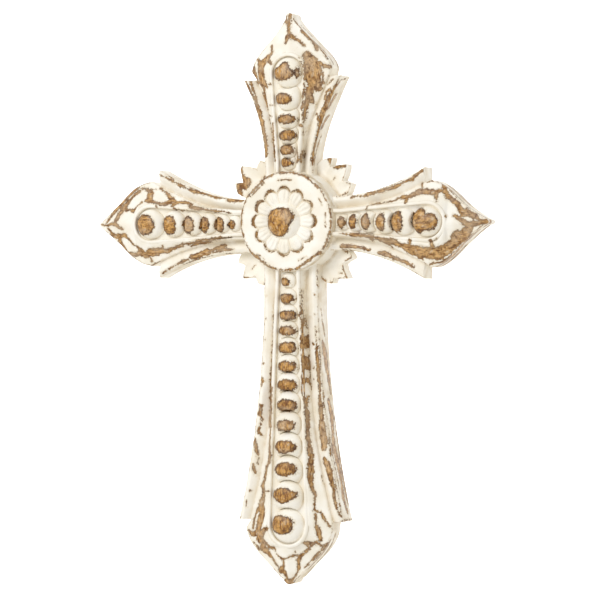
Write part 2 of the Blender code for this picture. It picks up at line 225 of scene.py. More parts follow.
def rubbedPaint():
    # cream paint rubbed back to the wood: flat creamy faces, thin dark torn edges and golden grain
    look = {part: linear(hexColour) for part, hexColour in paintColours.items()}
    material = bpy.data.materials.new("rubbed_cream_milk_paint")
    material.use_nodes = True
    tree = material.node_tree
    shader = tree.nodes["Principled BSDF"]
    place = addNode(tree, "ShaderNodeTexCoord").outputs["Object"]
    worn, grimeAndShade, scorch, level = [addNode(tree, "ShaderNodeAttribute", attribute_name=field).outputs["Fac"]
                                  for field in ("worn", "grimeAndShade", "scorch", "level")]
    broad = noise(tree, place, 16, 2)
    lumps = noise(tree, place, 5, 3, 0.6)
    grit = noise(tree, place, 1.3, 3, 0.6)
    # worn + 0.30*(lumps - 0.5) + 0.32*(grit - 0.5) tears the edge of the paint
    torn = maths(tree, "ADD", worn, maths(tree, "MULTIPLY", maths(tree, "SUBTRACT", lumps, 0.5), 0.30))
    torn = maths(tree, "ADD", torn, maths(tree, "MULTIPLY", maths(tree, "SUBTRACT", grit, 0.5), 0.32))
    bare = ramp(tree, torn, 0.505, 0.53)

    # grain runs up the board and along the level arms; flecks of paint and dark pores stay in the bare wood
    upright = noise(tree, place, 1.5, 4, 0.7, (1, 1, 0.3))
    across = noise(tree, place, 1.5, 4, 0.7, (0.3, 1, 1))
    grain = addNode(tree, "ShaderNodeMix", {0: level, 2: upright, 3: across}).outputs[0]
    flecks = noise(tree, place, 3.4, 5, 0.75)
    warm = ramp(tree, scorch, 0.55, 1.0)
    pale = mixColour(tree, warm, look["wood"], look["beadWood"])
    deep = mixColour(tree, warm, look["woodDeep"], look["beadWoodDeep"])
    wood = mixColour(tree, ramp(tree, grain, 0.38, 0.60), deep, pale)
    wood = mixColour(tree, ramp(tree, broad, 0.44, 0.64, 0.0, 0.55), wood, look["greyed"])
    wood = mixColour(tree, ramp(tree, flecks, 0.53, 0.68, 0.0, 0.6), wood, look["paintFlecks"])
    wood = mixColour(tree, ramp(tree, flecks, 0.48, 0.38, 0.0, 0.8), wood, look["pores"])
    # a thin dark line along every torn edge, and a wider, blotchy one where scorch asks for it
    blotches = ramp(tree, flecks, 0.40, 0.56, 0.3, 1.0)
    edge = maths(tree, "MULTIPLY", ramp(tree, torn, 0.54, 0.73, 1.0, 0.0), blotches)
    edge = maths(tree, "MAXIMUM", ramp(tree, torn, 0.515, 0.575, 0.8, 0.0),
                 maths(tree, "MULTIPLY", edge, scorch))
    wood = mixColour(tree, edge, wood, look["tornEdge"])

    paint = mixColour(tree, ramp(tree, broad, 0.35, 0.65), look["cream"], look["shade"])
    paint = mixColour(tree, ramp(tree, torn, 0.38, 0.505, 0.0, 0.5), paint, look["thinned"])
    paint = mixColour(tree, ramp(tree, grit, 0.60, 0.74, 0.0, 0.18), paint, look["specks"])
    # dirt and painted shade, in lumps, over the paint in creases and hollows and on the walls
    dirtAndShade = maths(tree, "MULTIPLY", grimeAndShade, ramp(tree, lumps, 0.3, 0.65, 0.35, 1.0))
    paint = mixColour(tree, dirtAndShade, paint, look["dirtAndShade"])

    colour = mixColour(tree, bare, paint, wood)
    tree.links.new(colour, shader.inputs["Base Color"])
    tree.links.new(ramp(tree, bare, 0, 1, 0.62, 0.40), shader.inputs["Roughness"])
    shader.inputs["IOR"].default_value = 1.46
    # the paint stands above the wood; grit roughens both, and grain the wood
    height = maths(tree, "ADD", maths(tree, "MULTIPLY", bare, -1.0), maths(tree, "MULTIPLY", grit, 0.35))
    height = maths(tree, "ADD", height, maths(tree, "MULTIPLY", maths(tree, "MULTIPLY", grain, bare), 0.9))
    bump = addNode(tree, "ShaderNodeBump", {"Height": height, "Strength": 0.6, "Distance": 0.0004})
    tree.links.new(bump.outputs["Normal"], shader.inputs["Normal"])
    return material


def plainMaterial(name, colour, glow=0.0):
    material = bpy.data.materials.new(name)
    material.use_nodes = True
    shader = material.node_tree.nodes["Principled BSDF"]
    shader.inputs["Base Color"].default_value = linear(colour)
    shader.inputs["Roughness"].default_value = 0.8
    if glow:
        shader.inputs["Emission Color"].default_value = linear(colour)
        shader.inputs["Emission Strength"].default_value = glow
    return material


paintMaterial = rubbedPaint()


# Arms

# what all four arms share, unless their own dictionary says otherwise
armForm = dict(
    finialLength=43.5, creaseHalf=10.2, creaseSweep=1.9, shoulderHalf=30.6, bladeHollow=0.8,
    flangeEndHalf=38.0, flangeSweep=1.9, crestShare=0.66, gap=0.8, rimWidth=2.2,
    beads=6, firstBead=42.0, firstRadius=5.9, lastRadius=11.0, evenness=0.74, stretch=2.9,
    step=0.6, slot=False, lean=0.0, rightWall=[], leftWall=[], kept=[],
)

topArm = dict(
    armForm, name="top_arm", turn=0, drop=0.0, reach=148.5, tipRadius=3.1, shoulderHalf=31.2,
    fullness=1.0, shoulderSlack=0.20, flankSlack=0.50, wander=(-1.4, 0.9, -0.3, -0.6, -1.9),
    flangeHalf=18.7, flangeEnd=101.2, lean=1.8, lastBead=105.4, slot=True,
    strokes=[
        # pointed end: ridge and its fork, right edge, the large bare patch, left patch
        [(-1, 148, 1.6), (-2, 144, 1.7), (-1.5, 139, 1.7), (-1, 134, 2), (-1.5, 130, 1.6),
         (-3, 127, 1.2)],
        [(0, 132, 2.2), (4, 129.5, 1.7), (8, 127, 1.2), (11, 124.5, 0.9)],
        [(-4.5, 145, 1), (-4, 141, 0.8)], [(8, 135, 1), (14, 130, 1.3), (19, 126, 1.7), (20, 122, 1.6)],
        [(19, 126, 1.4), (24, 120.5, 0.9), (28, 115, 0.7)],
        [(13, 118, 3), (17, 113, 4.5), (20, 106, 4.8), (20, 99, 4.2), (22, 94, 2.6)],
        [(14, 113, 2), (16, 104, 3), (17, 97, 2.4), (16.5, 90, 2), (17, 85, 1.8)],
        [(22, 112, 1.6), (26, 110, 1.3), (30, 109, 1.5)], [(25, 105, 1), (25, 98, 1.3)],
        [(9, 116, 0.6), (12, 110, 0.6), (13.5, 103, 0.6), (13, 95, 0.6), (12, 88, 0.9), (11.5, 80, 1)],
        [(16, 94, 2), (15, 88, 1.9), (13.6, 81, 1.5), (12.6, 75, 1), (12.2, 69, 0.3), (11.4, 61, 0.2)],
        [(11, 80, 1.6), (14.5, 83, 1.4)], [(8.5, 68, 1.2), (11, 67.5, 1.2)],
        [(7.4, 51, 0.9), (7.6, 46, 1.1), (7.6, 42, 0.9)], [(10.5, 50, 0.4), (9.5, 42, 0.4)],
        [(-29.5, 113, 0.9), (-28.3, 106, 1.5), (-25.5, 99, 1.2)],
        [(-26, 116, 1), (-23, 112, 2.6), (-22, 106, 3.2), (-21.5, 100, 2.8), (-20, 94, 1.5), (-19.3, 88, 1),
         (-18, 82, 0.8)],
        [(-15, 125, 1), (-14, 121, 1.2), (-17, 117, 2.4), (-21, 113, 3.4)],
        [(-17, 115, 2), (-12, 112, 0.9)], [(-20, 99, 2.5), (-17, 96, 1.5)],
        [(-28, 107, 0.8), (-26, 101, 1)], [(-17, 97.5, 0.7), (-12.5, 97.5, 0.6)],
        [(-15, 83, 0.5), (-11, 82.5, 0.5)], [(-17, 75.5, 0.6), (-12, 74.5, 0.4)],
        [(-12, 69, 1.3), (-12, 62, 1.7), (-11, 55, 1.5), (-10.3, 50, 1), (-9.5, 43, 0.8)],
        [(-12.3, 51, 1), (-11.7, 42, 0.6)],
        [(-23, 95, 0.5), (-18, 80, 0.5), (-15.5, 68, 0.6), (-13.5, 55, 0.6), (-12, 42, 0.5)],
        # flanges
        [(38, 100.5, 0.8), (33, 92, 1), (30, 86, 2.4), (27, 79, 2.9), (24.5, 72, 2.6), (22.5, 65, 2),
         (20, 57, 1.5), (18, 48, 1.3), (17, 40, 1.2)],
        [(31, 93, 1), (27.5, 91.5, 0.9), (27, 86, 1.2)], [(20, 76, 1), (22, 72, 1.5)],
        [(33, 100, 0.7), (28, 97, 0.5)],
        [(-35, 101, 0.8), (-31, 93, 1), (-29, 90, 1.3), (-26, 84, 1.6), (-24, 78, 2.2), (-22, 70, 1.6),
         (-20, 62, 1.5), (-19, 55, 1.4), (-18.5, 47, 1)],
        [(-31, 100, 1), (-28, 92, 0.8), (-26, 86, 0.7)],
    ],
    bare=[
        (-1.2, 41.5, 5.2, 3.2), (-0.5, 50.7, 5.6, 3.6), (0, 61, 6.5, 3.6), (-0.5, 72.3, 7.6, 3.2),
        (-3, 86.8, 7.2, 3.9), (-2.5, 104.8, 8.6, 5), (-1, 109.5, 3.6, 3.2), (8, 105.5, 1.6, 3.4),
    ],
    rightWall=[
        [(40, 15, 0.8), (52, 13.5, 1), (60, 11, 0.8)], [(66, 14, 1.4), (72, 12, 2.2), (75, 8, 1.2)],
        [(80, 15, 1.4), (86, 13, 2.2), (90, 10, 1.2)], [(96, 15, 1.2), (100, 13, 1), (101, 6, 0.6)],
        [(128, 13, 0.6), (120, 11, 1), (112, 10, 0.6)], [(140, 10, 0.4), (132, 7, 0.5)],
        [(108, 3, 0.5), (118, 1, 0.6)],
    ],
)

leftArm = dict(
    armForm, name="left_arm", turn=90, drop=1.0, reach=153.1, tipRadius=1.8, finialLength=43.9,
    fullness=1.28, shoulderSlack=0.34, flankSlack=0.85, wander=(-2.1, 0.2, 0.4, 0.7, 0.0),
    flangeHalf=19.3, flangeEnd=103.5, flangeEndHalf=39.0, flangeSweep=2.0, lastBead=108.4,
    strokes=[
        # pointed end, lower side then upper side
        [(0, 151, 1.2), (-0.5, 147, 1), (0.5, 143, 1.2), (0.5, 139, 1.6), (-2, 136, 1.3), (-3, 132.5, 1)],
        [(-3, 146, 1), (-8, 141, 1.6), (-9, 137, 2), (-15, 135, 1.6), (-20, 131, 1.4), (-23, 127, 0.9)],
        [(-8, 137, 1.8), (-8, 131, 1.8), (-11, 128, 1), (-15, 124, 0.8), (-17, 119, 1.2)],
        [(-21, 128, 1.6), (-22, 122, 1.7), (-20, 118, 3.2), (-22, 115, 2.2), (-21, 110, 2.4)],
        [(-27, 110, 0.7), (-23, 111, 0.9)],
        [(-20, 110, 3), (-20, 105, 3.2), (-19, 100, 2), (-15.8, 99, 0.9)],
        [(-20, 100, 1.8), (-19, 95, 1.6), (-16.5, 89, 1.3), (-14.5, 82, 0.9), (-13.5, 75, 1),
         (-12, 68, 1.1), (-11.5, 60, 1.2), (-10, 52, 0.9)],
        [(-16, 78, 0.7), (-14, 70, 1.3), (-12.5, 63, 0.9), (-11, 55, 0.8), (-10, 44, 0.6)],
        [(2, 147, 1.2), (8, 142, 1.2), (14, 137, 2), (20, 131, 2), (25, 125, 1.6), (27, 121, 1)],
        [(3, 139, 1.6), (8, 136, 2.2), (13, 132, 2.8), (17, 129, 1.6), (21, 125, 1.3), (24, 120, 1.6)],
        [(11, 133, 1.8), (10.5, 127, 1), (10, 122.5, 1.4), (13, 120, 0.8), (16, 116, 1)],
        [(17, 113, 1.3), (18, 110, 2.5), (22, 110, 2.8), (25, 113, 1), (26, 118, 1)],
        [(25, 112, 0.8), (25.5, 106, 0.8)],
        [(16.5, 110, 1.5), (15.5, 104, 0.9), (14.5, 100, 1.4), (15, 95, 2), (17, 92, 2.3), (14, 90, 2)],
        [(14, 103.5, 0.8), (12, 103, 0.5)], [(19, 94, 1.5), (23, 98, 0.9), (26, 103.5, 0.8)],
        [(15, 90, 2), (15.5, 85, 1), (15, 79, 1.3), (12, 76, 1.5), (11, 71, 1.3), (9.7, 63, 1.3),
         (9, 58, 1.1), (8.5, 50, 0.6), (7, 44, 0.5)],
        [(11, 89, 1), (10, 84, 0.6), (9.7, 79, 0.4)],
        # flanges
        [(-35.5, 101, 0.8), (-31, 93, 0.8), (-28, 87, 1), (-26.5, 84, 1.6), (-25.5, 80, 0.7)],
        [(-24, 77, 2), (-22, 71, 2.2), (-19.8, 65, 2.3), (-18.8, 61, 1.5), (-17, 55, 2), (-16, 51, 1.2)],
        [(-22, 68, 1.2), (-20.5, 60, 1), (-19, 52, 1), (-18.5, 44, 0.6)],
        [(36, 103.5, 0.7), (31, 92, 1.1)],
        [(30, 91, 0.8), (28, 86, 1.6), (26, 82, 0.7), (23.5, 76, 1.5), (22.5, 70, 1.1), (20.5, 63, 1),
         (18.7, 58, 1.4), (18.5, 50, 0.8)],
        [(17, 49, 1.4), (16.5, 43, 1.6), (16.5, 38, 1.4)],
    ],
    bare=[
        (-1, 43.7, 3.3, 3), (-1, 53.2, 5.2, 4), (-1, 64.5, 5.7, 4), (-1, 77.2, 6.3, 4.8),
        (-1, 91.6, 6.8, 5.4), (-0.6, 111.5, 7.4, 8.2),
    ],
)

rightArm = dict(
    armForm, name="right_arm", turn=-90, drop=1.0, reach=148.5, tipRadius=1.8,
    fullness=1.0, shoulderSlack=0.26, flankSlack=0.65, wander=(0.4, 0.9, 1.6, 1.3, 0.3),
    flangeHalf=19.3, flangeEnd=101.5, flangeEndHalf=39.1, lastBead=105.4,
    strokes=[
        # pointed end: tip, then the lower side and the upper side
        [(0.5, 148, 1.4), (0.5, 143, 2), (2, 138, 2.4), (2, 133, 2.5), (-1.5, 129, 2), (-4, 125, 1.4)],
        [(5, 135, 3.2), (10, 130, 4.2), (15, 124, 3.6), (20, 118, 4), (22.5, 112, 4.5), (22, 105, 4.2),
         (21, 98, 4.2), (19, 91, 3.6), (17, 86, 2), (14, 80, 2.6), (14, 76, 2.6), (12, 70, 2),
         (10.5, 66, 1.5), (9.5, 60, 1.5), (9, 53, 1.5), (8.5, 46, 1), (8, 40, 0.8)],
        [(11, 124, 2.2), (8, 127, 2.2)], [(26, 115, 1.3), (24, 108, 2)],
        [(21, 127, 0.7), (28, 115, 0.9), (30, 106, 0.8)], [(14, 109, 1.7), (19, 110, 1.4)],
        [(13.5, 93, 1.5), (18, 92, 2)], [(24, 97, 1.2), (26.5, 101, 1)], [(16, 76, 1), (18, 78, 0.6)],
        [(12, 64, 1.8)], [(12, 113, 0.6), (14, 110, 0.6)],
        [(-3, 140, 1.8), (-5.5, 134, 2.6), (-3, 129, 1.6)],
        [(-1, 142, 1.4), (-4, 137, 1.5), (-7, 133, 1.6), (-7, 129, 2), (-11, 127.5, 2), (-14, 124, 2),
         (-17, 119.5, 2), (-21, 117, 2), (-25, 115.5, 1.6)],
        [(-22, 114, 1.6), (-20, 111, 2.2), (-16, 112, 1.2), (-13.5, 112.5, 0.6)],
        [(-20, 110, 2.3), (-21, 104, 2.4), (-20.5, 98, 2.3), (-18.5, 93, 2), (-17, 89.5, 2),
         (-13.5, 90, 1)],
        [(-17.5, 89, 2), (-17, 85, 1.6), (-14.8, 80, 1), (-13.7, 75, 0.9), (-12.7, 70, 0.8), (-13, 66, 0.9),
         (-11.7, 61, 0.5)],
        [(-26, 100, 1), (-22, 101, 1.2)], [(-4, 119.5, 0.5), (-3, 119.5, 0.5)],
        [(-9.5, 61, 0.4), (-8, 59.5, 0.4)],
        # flanges
        [(-35.5, 100, 1.5), (-30, 93, 1.6), (-28, 88, 1.2), (-24.5, 80, 1.7), (-22.5, 72, 1.4),
         (-20.5, 64, 1.3), (-19.5, 60, 1.6), (-18, 57, 1.3), (-18.5, 52, 1), (-17.5, 47, 0.9)],
        [(32, 94, 1.2), (28, 87, 1.7), (25, 79, 1.3), (22.5, 73, 2.1), (21.5, 68, 1.2)],
        [(19.5, 61, 1.1), (17.5, 53, 1), (17, 47, 1.4), (17, 40, 1.7)],
    ],
    bare=[
        (0.5, 41.4, 4.2, 3), (-0.2, 50.4, 4.7, 3), (0, 60.3, 5.3, 3.4), (0.3, 71.9, 6.2, 3.7),
        (0.5, 84, 7.6, 5.2), (-0.8, 101, 8.4, 6.4), (0.5, 108, 6, 6.2),
    ],
    rightWall=[
        [(106, 13, 1.6), (114, 11, 3), (122, 11, 3.4), (130, 12, 2), (140, 11, 1.8)],
        [(144, 9, 1.4), (149, 10, 2)], [(112, 5, 1.6), (120, 4, 2.2), (128, 4, 1)],
        [(134, 2, 1), (144, 3, 1.4)],
    ],
    leftWall=[
        [(108, 13, 1.2), (124, 12, 1.6), (134, 12, 1), (143, 10, 1.4), (149, 10, 2)],
        [(116, 5, 1.2), (130, 4, 1.4)], [(108, 1.5, 0.8), (130, 1, 0.9)],
    ],
)

footArm = dict(
    armForm, name="foot_arm", turn=180, drop=0.0, reach=258.2, tipRadius=5.0, shoulderHalf=33.6,
    fullness=1.2, shoulderSlack=0.45, flankSlack=0.65, wander=(0.0, -0.1, 2.2, 2.1, 1.9),
    creaseHalf=11.5, creaseSweep=2.4, flangeHalf=21.0, flangeEnd=212.5, flangeEndHalf=40.6,
    flangeSweep=2.1, beads=13, lastBead=215.9, lastRadius=12.5, evenness=0.82, stretch=3.7, step=0.68,
    strokes=[
        # pointed end: tip, bare net between the cream patches
        [(1, 256, 2.2), (4, 255.5, 2.2)],
        [(4, 253, 1.6), (5, 250, 2), (8, 248, 2.6), (5, 245, 1.3), (4.5, 240, 1.3)],
        [(4.5, 240, 1.3), (0, 238.5, 0.9), (-4, 236.7, 0.9), (-7, 237.5, 1.1)],
        [(-1, 254.5, 0.7), (-4, 250, 0.8), (-6, 246, 1.2), (-6, 241, 1.4), (-8, 237.5, 1.3),
         (-13, 233, 1.1), (-17, 229, 1.3)],
        [(4.5, 240, 1), (8, 239, 1), (11, 236, 0.9), (12, 232, 1.4), (15, 232.5, 1), (18, 229, 1.3),
         (20, 226, 1), (22, 224, 1.2)],
        [(-3, 236.5, 0.7), (-5, 234, 0.5)],
        [(10, 246, 0.7), (14, 240, 0.9), (17, 236.5, 2.2), (22, 233, 3), (20.5, 229, 2.5), (24, 227, 3),
         (24, 222, 3), (30, 223, 2), (32.5, 221, 1.3)],
        [(21, 222, 3), (18, 219, 1.7), (15, 218, 1)],
        [(24, 219, 3), (22.3, 213, 3), (21, 207, 3.2), (22, 202, 3), (20, 196, 1.9), (19.5, 192, 1.7),
         (21, 188, 1.7), (19, 184, 1.5), (18, 179, 1.4), (17, 174, 1.4), (14, 170, 1.8), (14, 163, 1.5),
         (14, 156, 1.4), (13.5, 149, 1.3), (13.5, 140, 1.6), (13.5, 130, 1.8), (13.5, 118, 1.8)],
        [(14, 191.5, 0.8), (18, 192, 1)], [(25, 234, 1.2), (29, 229, 0.8)],
        [(29, 219, 1), (28, 212, 0.8), (25, 205, 1)],
        [(-10, 246, 0.6), (-15, 241, 0.8), (-20, 236, 1), (-24, 232, 1.3), (-27, 228.5, 0.8)],
        [(-24, 230, 1.4), (-20, 227.5, 1.6), (-18, 228, 1.3), (-13, 228, 1.9), (-15, 232, 1)],
        [(-23, 226, 1.6), (-22, 220, 1.7), (-21, 214, 1.1), (-20.5, 207, 0.9)],
        [(-30, 216, 0.6), (-26, 210, 1.3), (-24, 206, 1), (-20, 205, 1)],
        [(-20, 205, 0.9), (-20, 199, 0.9), (-20, 193, 1.1), (-18, 188, 1.3), (-17, 181, 1.9),
         (-17, 174, 2), (-17, 167, 1.8), (-16, 160, 1.6), (-15, 152, 1.3), (-14.4, 144, 1.3),
         (-14, 135, 1.3), (-13.6, 127, 1.2), (-13, 119, 2.4), (-12.8, 108, 1.8), (-12.5, 98, 1.8),
         (-12, 92, 2.2), (-11.6, 80, 1.8), (-11, 72, 1), (-10.6, 65, 0.5), (-10.2, 58, 0.4),
         (-9.8, 48, 0.3)],
        [(-10, 66.5, 0.5), (-7, 66.5, 0.4)],
        [(12.4, 55, 0.7), (13, 66, 0.9), (13.4, 78, 1), (14, 90, 1), (15.2, 108, 1.2),
         (15.8, 125, 1.1), (16.2, 146, 1.3)],
        # flanges
        [(39.5, 211.5, 0.8)], [(-39.5, 212, 0.8)],
        [(-39, 209, 0.6), (-36, 203, 0.9), (-34, 196, 1.5), (-33.5, 190, 1.3), (-31.5, 184, 2),
         (-30, 177, 2.4), (-28, 171, 2.8), (-26, 168, 1.7)],
        [(-26, 160, 2.8), (-25.5, 153, 3), (-24.5, 147, 3), (-24, 140, 2), (-23.8, 132, 1.7),
         (-23, 125, 1.1), (-22.5, 117, 1.2), (-21.8, 108, 1.4), (-21.2, 100, 1), (-20.6, 92, 0.8),
         (-20, 83, 0.7), (-19.6, 75, 0.6)],
        [(-19, 66, 0.5)], [(-18.8, 52, 0.6)], [(-18, 112, 0.6)], [(-18, 104, 1)], [(-18, 87, 1.1)],
        [(-15, 68, 0.7)], [(34.5, 203, 0.8), (34, 199, 0.6)], [(31.5, 192, 0.9)],
        [(26.5, 181, 0.5), (28, 177, 1.3), (29, 173, 1)],
        [(26, 173, 0.6), (25, 168, 0.7), (26.5, 163, 1.4), (27, 158, 1.5), (27, 155, 1)],
        [(22, 153, 0.6), (25, 149, 1.4), (23, 145, 1), (22, 142, 0.7), (22.5, 139, 1), (24, 137, 1.6),
         (22, 131, 0.9), (24, 131, 1.3)],
        [(21, 114, 1.2), (22, 112, 1.4), (22.5, 117, 0.8)], [(20.5, 101, 0.9)], [(19.5, 84, 0.6)],
        [(19, 69, 0.7)], [(18.5, 53, 0.5)],
    ],
    bare=[
        (2.2, 42.8, 4.2, 3), (1, 54.8, 6.2, 3.6), (0.8, 66.5, 6.6, 3.3), (0.2, 77.3, 6.6, 3.3),
        (0, 89.5, 6.9, 3.8), (0, 103, 7.2, 4.2), (-0.2, 116.3, 7.4, 4), (-0.3, 130.6, 7.2, 4.4),
        (0.5, 144.8, 7.4, 3.9), (1, 160, 8, 4.6), (0.5, 175.8, 8.8, 4.6), (2, 194.2, 7.5, 5.4),
        (8.5, 193.5, 4.2, 2.6), (-5, 194, 3.5, 2.8), (3.2, 215, 9.8, 6.6),
    ],
    kept=[(-11.6, 78.4, 1.4, 2.8), (-12.1, 92.5, 2.0, 2.5), (-12.4, 108, 1.6, 2.8), (-13, 119.5, 2.3, 4.4)],
    leftWall=[
        [(86, 11, 2), (95, 8, 4), (103, 7, 3), (112, 5, 2.6), (122, 4, 1.6)],
        [(62, 12, 0.6), (74, 9, 1.2), (84, 6, 0.6)],
        [(128, 9, 2.6), (138, 6, 3.8), (150, 8, 2.6), (160, 10, 3.4), (172, 7, 3.6), (184, 6, 2),
         (196, 8, 2.8), (206, 6, 1.6)],
        [(138, 14.5, 0.7), (165, 13.5, 1.2), (190, 12, 0.8)], [(140, 1, 1.2), (172, 1, 1.6), (200, 2, 1.4)],
        [(211.5, 1, 0.8), (211.5, 15, 0.8)],
        [(226, 13, 1.2), (232, 12, 1.2), (238, 11, 2), (246, 10, 1)],
        [(222, 8, 0.5), (240, 4, 1.2), (252, 3, 0.5)],
    ],
)

arms = [topArm, leftArm, rightArm, footArm]

for arm in arms:
    # the flanks would meet a little past the rounded tip
    arm["point"] = arm["reach"] + 0.8 * arm["tipRadius"]
    arm["shoulder"] = arm["point"] - arm["finialLength"]


def along(s, end):
    # share of the way from the rosette's wall to a station, 0 to 1
    return np.clip((s - root) / (end - root), 0, 1)


def sideways(arm, s):
    # the carver's line wanders: eased between five given shifts, the fourth one near the finial's middle
    shoulder = arm["shoulder"]
    stops = (root, arm["flangeEnd"], shoulder, shoulder + 0.45 * arm["finialLength"], arm["reach"])
    return easeAlong(s, stops, arm["wander"])


def bladeHalf(arm, s):
    # crease: c + (h - c)*t^sweep; pointed end: h*(w + slack*(1 - u - w)) with w = (1 + cos(pi*u))/2 and one
    # slack by the shoulder, another by the tip; nose: sqrt(r^2 - (s - n)^2)
    widening = (arm["shoulderHalf"] - arm["creaseHalf"]) * along(s, arm["shoulder"]) ** arm["creaseSweep"]
    crease = arm["creaseHalf"] + widening
    u = np.clip((s - arm["shoulder"]) / (arm["point"] - arm["shoulder"]), 0, 1) ** arm["fullness"]
    wave = 0.5 * (1 + np.cos(math.pi * u))
    slack = np.where(u < 0.5, arm["shoulderSlack"], arm["flankSlack"])
    flank = np.maximum(arm["shoulderHalf"] * (wave + slack * (1 - u - wave)), arm["tipRadius"])
    nose = arm["reach"] - arm["tipRadius"]
    cap = np.sqrt(np.maximum(arm["tipRadius"] ** 2 - (s - nose) ** 2, 0))
    return np.where(s <= arm["shoulder"], crease, np.where(s > nose, cap, flank))


def flangeOuter(arm, s):
    # f + (e - f)*t^sweep
    widening = (arm["flangeEndHalf"] - arm["flangeHalf"]) * along(s, arm["flangeEnd"]) ** arm["flangeSweep"]
    return arm["flangeHalf"] + widening


def beadRadius(arm, s):
    # r + (R - r)*t^0.85
    t = np.clip((s - arm["firstBead"]) / (arm["lastBead"] - arm["firstBead"]), 0, 1)
    return arm["firstRadius"] + (arm["lastRadius"] - arm["firstRadius"]) * t ** 0.85


def channelHalf(arm, s):
    return beadRadius(arm, s) + arm["gap"]


def lipEnd(arm):
    return arm["lastBead"] + arm["lastRadius"] + arm["gap"] + arm["rimWidth"]


def bladeTop(arm, s, fromMiddle):
    # height of the blade: flat to the lip, then a straight fall to the arris less a hollow of 4*t*(1 - t),
    # which fades where the blade is under 6 mm wide there
    half = bladeHalf(arm, s)
    lip = channelHalf(arm, s) + arm["rimWidth"]
    lip = np.where(s > arm["lastBead"], np.sqrt(np.maximum(lip ** 2 - (s - arm["lastBead"]) ** 2, 0)), lip)
    lip = np.minimum(lip, 0.9 * half)
    ridge = rimZ + (tipZ - rimZ) * np.clip((s - lipEnd(arm)) / (arm["reach"] - lipEnd(arm)), 0, 1)
    toShoulder = np.clip((s - arm["flangeEnd"]) / (arm["shoulder"] - arm["flangeEnd"]), 0, 1)
    toTip = np.clip((s - arm["shoulder"]) / (arm["reach"] - arm["shoulder"]), 0, 1)
    edge = bladeEdgeZ + (finialEdgeZ - bladeEdgeZ) * toShoulder + (tipZ - finialEdgeZ) * toTip
    t = np.clip((fromMiddle - lip) / np.maximum(half - lip, 1e-6), 0, 1)
    hollow = arm["bladeHollow"] * 4 * t * (1 - t) * np.clip((half - lip) / 6, 0, 1)
    slope = ridge + (edge - ridge) * t - hollow
    # under the channel's lip the blade drops to the channel's floor
    fromChannel = np.where(s > arm["lastBead"], np.hypot(fromMiddle, s - arm["lastBead"]), fromMiddle)
    room = channelHalf(arm, np.minimum(s, arm["lastBead"])) + 0.5 * arm["rimWidth"] - fromChannel
    return slope + (floorZ - slope) * ease(room / 1.2 + 0.5)


def armRows(arm):
    # stations along the arm: a double one where the flanges stop, and a quarter turn round the nose
    nose = arm["reach"] - arm["tipRadius"]
    before = np.linspace(inside, arm["flangeEnd"], int((arm["flangeEnd"] - inside) / arm["step"]))
    after = np.linspace(arm["flangeEnd"], nose, int((nose - arm["flangeEnd"]) / arm["step"]))
    tip = nose + arm["tipRadius"] * np.sin(np.linspace(0, math.pi / 2, 7)[1:])
    s = np.concatenate([before, after, tip])
    flanged = np.arange(len(s)) < len(before)
    return s, flanged


def spread(start, end, count):
    # count columns after start up to end: start + (end - start)*k/count
    k = np.arange(1, count + 1) / count
    return start[:, None] + (end - start)[:, None] * k[None, :]


# columns of half a section: up to the channel's lip, blade, crease, flange, chamfer, side wall, back
lipCols, bladeCols, creaseCols, flangeCols, chamferCols, wallCols, backCols = 9, 26, 4, 14, 8, 12, 6
arrisCol = lipCols + bladeCols
outerCol = arrisCol + creaseCols + flangeCols + chamferCols
plainWallZ = (12.0, 9.0, 7.0)  # beyond the flange its crease, crest and arris lie down the plain wall
nailSlot = dict(fromTip=37.0, halfLength=8.0, radius=4.0, depth=8.0, wallCols=5, floorCols=2)


